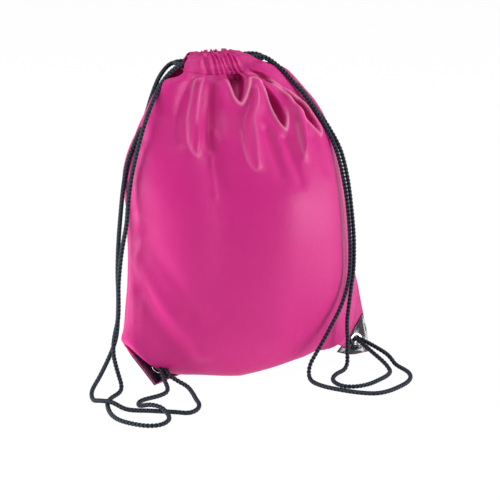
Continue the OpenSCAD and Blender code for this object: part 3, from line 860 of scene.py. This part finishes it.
cord = {
    "diameter": 4.5,
    "sides": 16,
    "ringStep": 0.62,
    "yarns": 2,  # pairs of yarn bundles round the braid
    "lay": 4.3,  # length of one turn of the braid's diamonds
    "relief": 0.95,
    "radius": 2.6,  # at rest the braid is a little fuller than in the eyelet
    "bendRadius": 10,
    "easeSteps": 23,
    "bendRise": {-1: 4.2, 1: -3.2},  # the bends lie against the other cord
    "exit": {-1: (-0.1222, -0.0131, 0.0161), 1: (0.1164, -0.0360, 0.0235)},  # the eyelets, in metres
    "length": {-1: 1.545, 1: 1.501},  # of the solids, in metres
    "stub": 8,
}
eyelet = {"inset": 17, "stack": 2.8, "flange": 0.8, "knotDepth": 8.5}
cordHeight = {-1: bag["casingHeight"] * 0.33, 1: bag["casingHeight"] * 0.68}
routes = {
    (-1, 1): [
        [-81, 41, 348], [-95, 36, 336], [-107, 28, 318], [-120, 17, 295], [-135, 8, 272],
        [-145, 5, 252], [-151, 4, 224], [-155, 3, 196], [-160, -2, 166], [-163, -5, 134], [-164, -8, 108],
        [-166, -11, 84], [-170, -14, 60], [-179, -16, 40], [-191, -18, 20], [-202, -22, 6], [-206, -38, 2.3],
        [-203, -52, 6], [-194, -66, 8], [-182, -80, 3], [-160, -92, 2.3], [-137, -106, 2.3],
        [-125, -114, 2.3], [-114, -110, 2.3], [-106, -98, 2.3], [-103, -80, 2.3], [-100, -62, 2.3],
        [-101, -50, 5], [-108, -41, 9], [-115, -31, 14]],
    (-1, -1): [
        [-83, 20, 347], [-101, 14, 333], [-115, 6, 314], [-128, -2, 291], [-138, -7, 266],
        [-146, -10, 240], [-151, -12, 214], [-155, -15, 188], [-162, -17, 158], [-167, -19, 124],
        [-169, -21, 88], [-175, -22, 62], [-176, -22, 44], [-172, -22, 24], [-168, -22, 8],
        [-170, -26, 2.3], [-177, -34, 2.3], [-187, -42, 2.3], [-195, -54, 2.3], [-200, -73, 2.3],
        [-201, -90, 2.3], [-197, -105, 2.3], [-187, -119, 2.3], [-175, -129, 2.3], [-162, -131, 2.3],
        [-151, -124, 3], [-148, -112, 5], [-151, -100, 8], [-159, -89, 8], [-166, -76, 3],
        [-163, -65, 2.3], [-154, -60, 2.3], [-142, -58, 2.3], [-130, -54, 2.3], [-123, -48, 4],
        [-122, -36, 10]],
    (1, -1): [
        [25, 19, 352], [35, 17, 345], [47, 14, 334], [62, 11, 316], [76, 4, 296],
        [88, -6, 273], [95, -20, 248], [97, -34, 220], [97, -46, 190], [97, -53, 156], [97, -55, 130],
        [95, -57, 110], [89, -62, 94], [80, -67, 78], [67, -71, 60], [56, -73, 44], [47, -73, 30],
        [39, -73, 16], [36, -77, 5], [35, -90, 2.3], [41, -107, 2.3], [54, -124, 2.3], [68, -138, 2.3],
        [83, -147, 2.3], [99, -147, 2.3], [118, -140, 2.3], [132, -132, 2.3], [142, -121, 2.3],
        [147, -108, 2.3], [147, -95, 2.3], [144, -82, 4], [138, -70, 14]],
    (1, 1): [
        [26, 38, 352], [39, 33, 343], [54, 27, 330], [71, 20, 311], [85, 12, 290],
        [97, 1, 268], [104, -14, 245], [105, -29, 218], [104, -41, 190], [105, -47, 156],
        [105, -49, 130], [104, -50, 112], [99, -55, 94], [94, -60, 76], [91, -62, 56], [92, -62, 38],
        [92, -62, 22], [90, -66, 7], [82, -72, 2.3], [72, -77, 2.3], [62, -86, 2.3], [57, -97, 2.3],
        [58, -109, 2.3], [64, -117, 2.3], [75, -121, 2.3], [90, -120, 2.3], [107, -113, 2.3],
        [120, -106, 2.3], [129, -97, 2.3], [132, -88, 3], [129, -78, 9]],
}


def resampled(line, step):
    along = np.concatenate([[0], np.cumsum(np.linalg.norm(np.diff(line, axis=0), axis=1))])
    at = np.linspace(0, along[-1], int(round(along[-1] / step)) + 1)
    return np.stack([np.interp(at, along, line[:, k]) for k in range(3)], -1), at


def strandLine(side, face):
    # One strand, from the casing to the back of the eyelet.
    start = mouthAt + [side * (bag["mouthWidth"] / 2 + cord["stub"]), face * bag["casingGap"],
                       cordHeight[side]]
    start[2] += max(-side * 4.2, 0)
    beside = corners[side][1] * (cord["diameter"] / 2 + 0.05) * (1 if face > 0 else -1)
    depth = -eyelet["stack"] - eyelet["flange"]
    entry = [inCorner(side, eyelet["inset"], eyelet["inset"], h) + beside for h in (8, 3, depth)]
    points = np.array([list(start), *routes[side, face], *[list(p) for p in entry]], float)
    line = catmull(points, np.linspace(0, 1, 12 * len(points)))
    line[:, 2] = np.maximum(line[:, 2], cord["diameter"] / 2)
    return line


def cordLine(side):
    # Down one strand is up the other: eyelet, front casing, round the far end, back casing, eyelet.
    front, back = strandLine(side, -1), strandLine(side, 1)
    turnX = mouthAt[0] - side * (bag["mouthWidth"] / 2 + cord["stub"])
    z = mouthAt[2] + cordHeight[side] + cord["bendRise"][side]
    angle = np.linspace(-math.pi / 2, math.pi / 2, 25)
    turn = np.stack([turnX - side * cord["bendRadius"] * np.cos(angle),
                     mouthAt[1] + cord["bendRadius"] * np.sin(angle), angle * 0 + z], -1)
    line = np.concatenate([front[::-1], turn, back])
    line = resampled(line, cord["ringStep"])[0]
    window = np.hanning(cord["easeSteps"])[1:-1]
    window /= window.sum()
    soft = np.stack([np.convolve(line[:, k], window, "same") for k in range(3)], -1)
    soft[:10], soft[-10:] = line[:10], line[-10:]
    soft[:, 2] = np.maximum(soft[:, 2], cord["diameter"] / 2)
    return resampled(soft, cord["ringStep"])


def sweepFrames(line):
    aim = unit(np.gradient(line, axis=0))
    side = np.zeros_like(line)
    current = unit(np.cross(aim[0], [0.1, 0.2, 1]))
    for k in range(len(line)):
        current = current - aim[k] * (current @ aim[k])
        current = current / np.linalg.norm(current)
        side[k] = current
    return side, np.cross(aim, side)


def braidMesh(name, line, at, radius, sides, squeeze=0.0):
    # A round braid: two sets of yarns wind in opposite ways and pass over each other.
    side, up = sweepFrames(line)
    theta = np.arange(sides) * 2 * math.pi / sides
    phase = 2 * math.pi * at[:, None] / cord["lay"]
    one = np.cos(cord["yarns"] * theta[None] + phase)
    two = np.cos(cord["yarns"] * theta[None] - phase)
    crown = np.maximum(one, two) * 0.5 + 0.5
    ends = np.minimum(smooth(at / 1.5), smooth((at[-1] - at) / 1.5))[:, None]
    r = radius - cord["relief"] * (1 - crown) * ends - squeeze
    ring = side[:, None] * np.cos(theta)[None, :, None] + up[:, None] * np.sin(theta)[None, :, None]
    points = line[:, None] + ring * r[..., None]
    rings, count = len(line), sides
    index = np.arange(rings * count).reshape(rings, count)
    nextOne = np.roll(index, -1, axis=1)
    quads = np.stack([index[:-1], nextOne[:-1], nextOne[1:], index[1:]], -1).reshape(-1, 4)
    mesh = bpy.data.meshes.new(name)
    faces = quads.tolist() + [index[0, ::-1].tolist(), index[-1].tolist()]
    mesh.from_pydata((points.reshape(-1, 3) * mm).tolist(), [], faces)
    # The crown values drive the cord's painted shade and painted highlight.
    attribute = mesh.attributes.new("crown", "FLOAT", "POINT")
    attribute.data.foreach_set("value", crown.astype(np.float32).ravel())
    mesh.shade_smooth()
    return mesh


cordNames = {-1: "left", 1: "right"}
cordPaths = {}
for side, name in cordNames.items():
    line, at = cordLine(side)
    cordPaths[side] = line
    fromEnd = np.minimum(at, at[-1] - at)
    squeeze = (cord["radius"] - cord["diameter"] / 2) * (1 - smooth((fromEnd - 14) / 12))[:, None]
    mesh = braidMesh(name + "Cord", line, at, cord["radius"], cord["sides"], squeeze)
    piece = addObject(name + "Cord", mesh, finish["cord"])
    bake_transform(piece)
    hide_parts(f"{name}_cord_loop", f"{name}_front_strand", f"{name}_back_strand")
    print(name, "cord is", round(float(at[-1])), "mm long")

# Panels from the draped skin


def pressedByCords(points):
    # Cloth under a cord gives way to it.
    allLine = np.concatenate(list(cordPaths.values()))[::3] * mm
    tree = KDTree(len(allLine))
    for k, p in enumerate(allLine):
        tree.insert(p, k)
    tree.balance()
    moved = points.copy()
    reach = (cord["diameter"] / 2 + 1.1) * mm
    centre = np.array([-0.01, 0.0, 0.18])
    for k, p in enumerate(points):
        near, _, distance = tree.find(p)
        if distance < reach:
            away = unit((centre - np.array(near)) * [1, 1, 0.2])
            moved[k] = p + away * (reach - distance)
    return moved


def refined(grid, times=2):
    # The same grid with more rows and columns, on smooth curves through its points.
    for axis in (0, 1):
        grid = np.moveaxis(grid, axis, 0)
        count = grid.shape[0]
        flat = grid.reshape(count, -1)
        grid = catmull(flat, np.linspace(0, 1, (count - 1) * times + 1)).reshape(-1, *grid.shape[1:])
        grid = np.moveaxis(grid, 0, axis)
    return grid


def finePanel(ids, face):
    # The draped skin on a finer grid, with the pockets' depth restored and the sharp turns raised.
    u, v = np.meshgrid(np.linspace(-1, 1, bag["columns"] + 1), rowHeights(bag["rows"]))
    points = refined(settled[ids] / mm)
    u, v = refined(np.stack([u, v], -1)).transpose(2, 0, 1)
    even, plain = evenGrid(face), drawnCloth(u, v, face)
    clear = smooth((1 - v) / 0.02) * smooth((1 - np.abs(u)) / 0.03)
    rims = rimHeight(plain, even, frontRims if face < 0 else backRims, 1.5) * clear
    deep = pocketHeight(plain, u, v, even, frontPockets if face < 0 else backPockets) * clear
    points = points + normalsOf(points, face) * (rims - 0.35 * deep)[..., None]
    points[..., 2] = np.maximum(points[..., 2], 0.5)
    return u, v, points, rims, deep


fine = {-1: finePanel(frontId, -1), 1: finePanel(backId, 1)}


def panelPiece(name, face):
    u, v, points, rims, deep = fine[face]
    points = pressedByCords(points.reshape(-1, 3) * mm).reshape(points.shape)
    uv = np.stack([u * bag["width"] / 2, v * bag["height"]], -1)
    mesh = gridMesh(name, points, uv, flip=face > 0)
    # Painted highlight along the rims of the folds, and painted shade in the pockets, kept as attributes for
    # the satin.
    for label, values in (("paintedRimHighlight", rims / 2.4), ("hollow", deep / 10)):
        attribute = mesh.attributes.new(label, "FLOAT", "POINT")
        attribute.data.foreach_set("value", values.astype(np.float32).ravel())
    piece = addObject(name, mesh, finish["panel"])
    wall = piece.modifiers.new("wall", "SOLIDIFY")
    wall.thickness = bag["cloth"] * mm
    wall.offset = -1
    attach(piece, "bag")
    return piece


frontPanel = panelPiece("frontPanelCloth", -1)
backPanel = panelPiece("backPanelCloth", 1)
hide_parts("front_panel")
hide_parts("back_panel")
print("panels are cut from the draped skin")

# Casings: the turned-over top hems

casing = {"topFrom": {-1: -68, 1: -57}, "topTo": 2, "wall": 2.7, "ruffle": 1.5, "rows": 14, "topRuffle": 1.5}


def casingGrid(face):
    # Up the outside from the panel's last row, over the top, and down the inside.
    u, _, points, _, _ = fine[face]
    u, foot = u[-1], points[-1]
    wave = pleatWave(u, face)
    crown = casing["topRuffle"] * np.cos(17 * u + 2 * wave) * (1 - smooth((np.abs(u) - 0.5) / 0.3))
    drop = 2.5 * smooth((u - 0.55) / 0.45)
    topFrom = casing["topFrom"][face]
    top = np.stack([topFrom + (casing["topTo"] - topFrom) * (u + 1) / 2,
                    mouthAt[1] + face * (bag["casingGap"] + wave * 2.4),
                    mouthAt[2] + bag["casingHeight"] - 0.6 + crown - drop], -1)
    dents = {-1: 0.0, 1: 0.0}
    if face < 0:
        dents[1] = 1.8 * np.exp(-((u - 0.22) / 0.12) ** 2) + 1.2 * np.exp(-((u - 0.6) / 0.08) ** 2)
    rows, deep = [], []
    for layer in (1, -1):
        steps = np.linspace(0, 1, casing["rows"] + 1)
        for w in (steps if layer > 0 else steps[-2::-1]):
            middle = foot + (top - foot) * w
            line = mouthAt[1] + face * bag["casingGap"]
            tunnel = smooth(w / (0.55 if layer > 0 else 0.2)) * smooth((1 - w) / 0.22)
            ruffled = wave * (0.12 + 0.88 * smooth((w - 0.3) / 0.3))
            wall = (casing["wall"] + casing["ruffle"] * (1 + layer * ruffled)
                    - dents[layer] * (1 - smooth(w / 0.6)))
            y = middle[:, 1] * (1 - tunnel) + (line + face * layer * wall) * tunnel
            y += face * layer * 0.35 * min(w, 1 - w)
            rows.append(np.stack([middle[:, 0] + 0.5 * np.sin(5 * w + 9 * u), y, middle[:, 2]], -1))
            deep.append(dents[layer] * (1 - smooth(w / 0.6)) / 2.2 + u * 0)
    return u, np.array(rows), np.array(deep)


for face, name in ((-1, "front"), (1, "back")):
    u, grid, deep = casingGrid(face)
    rise = np.linspace(0, 2 * bag["casingHeight"], len(grid))
    uv = np.stack(np.broadcast_arrays(u[None] * bag["width"] / 2, bag["height"] + rise[:, None]), -1)
    mesh = gridMesh(name + "CasingCloth", grid * mm, uv, flip=face > 0)
    # Painted shade on the casing's dents, through the hollow attribute.
    mesh.attributes.new("hollow", "FLOAT", "POINT").data.foreach_set("value", deep.astype(np.float32).ravel())
    piece = addObject(name + "CasingCloth", mesh, finish["panel"])
    finer = piece.modifiers.new("finer", "SUBSURF")
    finer.levels = finer.render_levels = 1
    wall = piece.modifiers.new("wall", "SOLIDIFY")
    wall.thickness = bag["cloth"] * mm
    wall.offset = -1
    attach(piece, "bag")
    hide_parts(name + "_casing")
print("casings are gathered")

# Corner patches

patch = {"inset": 0.7, "thickness": 0.9, "steps": 22, "holeRadius": 5.6, "lift": 0.95}


def patchPiece(name, side, face):
    # A triangle in rows that get shorter, bent a little, with a hole for the eyelet's barrel.
    leg, inset, n = bag["patchLeg"], patch["inset"], patch["steps"]
    size = leg - 2.4 * inset
    t, s = np.meshgrid(np.linspace(0, 1, 2 * n + 1), np.linspace(0, 1, 2 * n + 1), indexing="ij")
    along, up = inset + size * s * (1 - t), inset + size * t
    fromEye = np.hypot(along - eyelet["inset"], up - eyelet["inset"])
    still = smooth((fromEye - 7) / 8)
    edge = np.minimum(np.minimum(along, up), (leg - along - up) / 1.41)
    wave = (0.45 * np.sin(along * 0.31 + 1.3 * side) * np.cos(up * 0.24 + 0.6 * face)
            + 0.35 * np.sin(0.17 * (along - up) + face))
    out = -face * (patch["lift"] + (0.75 + wave) * still * smooth(edge / 5) + 0.2)
    points = inCorner(side, along, up, out)
    mesh = gridMesh(name, points * mm, np.stack([along, up], -1), flip=(face > 0) != (side > 0))
    cutHole(mesh, side)
    piece = addObject(name, mesh, finish["vinyl"])
    wall = piece.modifiers.new("wall", "SOLIDIFY")
    wall.thickness = patch["thickness"] * mm
    wall.offset = 1
    rounded = piece.modifiers.new("rounded", "BEVEL")
    rounded.width = 0.25 * mm
    rounded.segments = 2
    rounded.limit_method = "ANGLE"
    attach(piece, "bag")
    return piece


def cutHole(mesh, side):
    # Opens a sheet where the eyelet's barrel goes through it.
    tip, x, y, z = corners[side]
    co = np.zeros(len(mesh.vertices) * 3)
    mesh.vertices.foreach_get("co", co)
    co = co.reshape(-1, 3) / mm - tip
    flat = np.stack([co @ x - eyelet["inset"], co @ y - eyelet["inset"], co @ z], -1)
    radius = np.hypot(flat[:, 0], flat[:, 1])
    near = (np.abs(flat[:, 2]) < 6) & (radius < patch["holeRadius"])
    work = bmesh.new()
    work.from_mesh(mesh)
    work.verts.ensure_lookup_table()
    gone = [v for v, inside in zip(work.verts, near)
            if inside and all(near[o.other_vert(v).index] for o in v.link_edges)]
    bmesh.ops.delete(work, geom=gone, context="VERTS")
    for v in work.verts:
        p = np.array(v.co) / mm - tip
        a, b, c = p @ x - eyelet["inset"], p @ y - eyelet["inset"], p @ z
        r = math.hypot(a, b)
        if r < patch["holeRadius"] and abs(c) < 6:
            k = patch["holeRadius"] / max(r, 1e-6)
            v.co = (tip + x * (a * k + eyelet["inset"]) + y * (b * k + eyelet["inset"]) + z * c) * mm
    bmesh.ops.remove_doubles(work, verts=work.verts, dist=0.02 * mm)
    work.to_mesh(mesh)
    work.free()


for side, name in cordNames.items():
    for face, layer in ((-1, "front"), (1, "back")):
        piece = patchPiece(f"{name}{layer.capitalize()}PatchVinyl", side, face)
        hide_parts(f"{name}_{layer}_patch")
    for part in ("eyelet", "washer"):
        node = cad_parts[f"{name}_{part}"]
        node.data.materials.clear()
        node.data.materials.append(finish["metal"])
    cutHole(frontPanel.data, side)
    cutHole(backPanel.data, side)
print("corner patches are on")

# Knots

knot = {"spread": 1.42, "depth": 2.0, "tail": 15, "radius": 2.15}


def knotPiece(name, side):
    # An overhand knot of both strands behind the washer, with two short tails.
    turns = np.linspace(0.35, 2 * math.pi + 0.05, 150)
    x = (np.sin(turns) + 2 * np.sin(2 * turns)) * knot["spread"]
    y = (np.cos(turns) - 2 * np.cos(2 * turns)) * knot["spread"]
    z = -np.sin(3 * turns) * knot["depth"]
    centre = -(eyelet["stack"] + eyelet["flange"] + eyelet["knotDepth"] / 2)
    body = inCorner(side, x + eyelet["inset"], y + eyelet["inset"], z + centre)
    pieces = []
    for k, (ax, ay) in enumerate(((0.9, 0.35), (0.45, 0.85))):
        reach = np.linspace(0, knot["tail"], 30)
        start = 2.0 - 1.5 * k
        tail = inCorner(side, eyelet["inset"] + start + ax * reach, eyelet["inset"] + start + ay * reach,
                        centre - 0.6 + 0 * reach)
        pieces.append(tail)
    meshes = []
    for line in (body, *pieces):
        line[:, 2] = np.maximum(line[:, 2], knot["radius"])
        fine, at = resampled(line, 0.6)
        meshes.append(braidMesh(name, fine, at, knot["radius"], 14))
    work = bmesh.new()
    for mesh in meshes:
        work.from_mesh(mesh)
        bpy.data.meshes.remove(mesh)
    joined = bpy.data.meshes.new(name)
    work.to_mesh(joined)
    work.free()
    joined.shade_smooth()
    piece = addObject(name, joined, finish["cord"])
    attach(piece, "bag")
    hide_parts(name.replace("CordKnot", "_knot"))


for side, name in cordNames.items():
    knotPiece(name + "CordKnot", side)
print("knots are tied")

# Seam allowances inside

allowance = {"width": 8, "thickness": 0.9}


def allowanceStrip(name, edge, inward, node):
    rows = np.stack([edge + inward * (0.6 + (allowance["width"] - 0.6) * k) for k in (0, 0.34, 0.67, 1)], 0)
    rows[..., 2] = np.maximum(rows[..., 2], 1.2)
    uv = np.stack(np.meshgrid(np.arange(rows.shape[1]) * 4.0, np.arange(4) * 2.6), -1)
    piece = addObject(name, gridMesh(name, rows * mm, uv), finish["panel"])
    wall = piece.modifiers.new("wall", "SOLIDIFY")
    wall.thickness = allowance["thickness"] * mm
    wall.offset = 0
    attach(piece, "bag")
    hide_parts(node)


skin = settled / mm
vent = int(np.searchsorted(rowHeights(bag["rows"]), bag["ventFrom"]))
for side, name in cordNames.items():
    edgeColumn, nextColumn = (0, 1) if side < 0 else (-1, -2)
    low = vent // 4
    edge = skin[frontId[low:vent, edgeColumn]]
    middle = (skin[frontId[low:vent, nextColumn]] + skin[backId[low:vent, nextColumn]]) / 2
    allowanceStrip(name + "SeamAllowance", edge, unit(middle - edge), name + "_seam_allowance")
quarter = bag["columns"] // 4
edge = skin[frontId[0, quarter:-quarter]]
inward = unit(skin[frontId[3, quarter:-quarter]] + skin[backId[3, quarter:-quarter]] - 2 * edge + [0, 0, 4.0])
allowanceStrip("bottomSeamAllowance", edge, inward, "bottom_seam_allowance")
print("seam allowances are in")

# Stitches

stitching = {"pitch": 3.0, "length": 2.2, "thread": 0.16}


def stitchTree(name, material):
    # Threads laid one after another along the edges of a mesh.
    tree = bpy.data.node_groups.new(name, "GeometryNodeTree")
    for label, kind, way in (("Geometry", "NodeSocketGeometry", "INPUT"),
                             ("Pitch", "NodeSocketFloat", "INPUT"),
                             ("Stitch length", "NodeSocketFloat", "INPUT"),
                             ("Thread", "NodeSocketFloat", "INPUT"),
                             ("Geometry", "NodeSocketGeometry", "OUTPUT")):
        tree.interface.new_socket(label, in_out=way, socket_type=kind)
    given, put = tree.nodes.new("NodeGroupInput"), tree.nodes.new("NodeGroupOutput")
    curve = tree.nodes.new("GeometryNodeMeshToCurve")
    even = tree.nodes.new("GeometryNodeResampleCurve")
    even.mode = "LENGTH"
    thread = tree.nodes.new("GeometryNodeMeshCylinder")
    thread.inputs["Vertices"].default_value = 6
    thread.inputs["Side Segments"].default_value = 1
    ends = tree.nodes.new("GeometryNodeInstanceOnPoints")
    tangent = tree.nodes.new("GeometryNodeInputTangent")
    aim = tree.nodes.new("FunctionNodeAlignEulerToVector")
    aim.axis = "Z"
    real = tree.nodes.new("GeometryNodeRealizeInstances")
    paint = tree.nodes.new("GeometryNodeSetMaterial")
    paint.inputs["Material"].default_value = material
    links = tree.links
    links.new(given.outputs["Geometry"], curve.inputs[0])
    links.new(curve.outputs[0], even.inputs[0])
    links.new(given.outputs["Pitch"], even.inputs["Length"])
    links.new(given.outputs["Stitch length"], thread.inputs["Depth"])
    links.new(given.outputs["Thread"], thread.inputs["Radius"])
    links.new(even.outputs[0], ends.inputs["Points"])
    links.new(thread.outputs["Mesh"], ends.inputs["Instance"])
    links.new(tangent.outputs[0], aim.inputs["Vector"])
    links.new(aim.outputs[0], ends.inputs["Rotation"])
    links.new(ends.outputs[0], real.inputs[0])
    links.new(real.outputs[0], paint.inputs[0])
    links.new(paint.outputs[0], put.inputs[0])
    return tree


def sew(name, lines, thread):
    # lines are rows of points in millimetres, just proud of the cloth.
    points, edges = [], []
    for line in lines:
        edges += [(len(points) + k, len(points) + k + 1) for k in range(len(line) - 1)]
        points += (np.asarray(line) * mm).tolist()
    guide = bpy.data.meshes.new(name)
    guide.from_pydata(points, edges, [])
    piece = bpy.data.objects.new(name, guide)
    scene.collection.objects.link(piece)
    tree = stitchTree(name + "Tree", finish[thread])
    row = piece.modifiers.new("stitches", "NODES")
    row.node_group = tree
    sizes = {"Pitch": "pitch", "Stitch length": "length", "Thread": "thread"}
    for item in tree.interface.items_tree:
        if item.in_out == "INPUT" and item.name in sizes:
            row[item.identifier] = stitching[sizes[item.name]] * mm
    shown = piece.evaluated_get(bpy.context.evaluated_depsgraph_get())
    sewn = bpy.data.meshes.new_from_object(shown)
    piece.modifiers.clear()
    piece.data = sewn
    sewn.name = name + "Mesh"
    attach(piece, "bag")


def onPanel(face, pairs):
    # Points of a fine panel at rows and columns, lifted off the cloth.
    points = fine[face][2]
    lifted = points + normalsOf(points, face) * 0.12
    return [lifted[rows, columns] for rows, columns in pairs]


fineRows, fineColumns = 2 * bag["rows"], 2 * bag["columns"]
ventRow = 2 * vent
upSide = np.arange(34, ventRow)
upVent = np.arange(ventRow, fineRows - 1)
for face, name in ((-1, "front"), (1, "back")):
    pairs = [(upVent, np.full(len(upVent), 3)), (upVent, np.full(len(upVent), fineColumns - 3)),
             (upSide, np.full(len(upSide), 2)), (upSide, np.full(len(upSide), fineColumns - 2))]
    sew(name + "PanelStitches", onPanel(face, pairs), "pinkThread")
    _, grid, _ = casingGrid(face)
    sew(name + "CasingStitches", [grid[1] + [0, face * 0.35, 0]], "pinkThread")
patchRows = []
for side in corners:
    for face in (-1, 1):
        span = np.linspace(0.04, 0.96, 30)
        along = (bag["patchLeg"] - 4.2) * span
        up = (bag["patchLeg"] - 4.2) * (1 - span)
        lift = patch["lift"] + patch["thickness"] + 0.55
        patchRows.append(inCorner(side, along, up, -face * lift + 0 * along))
sew("patchStitches", patchRows, "blackThread")
print("stitches are sewn")

print("finishing")
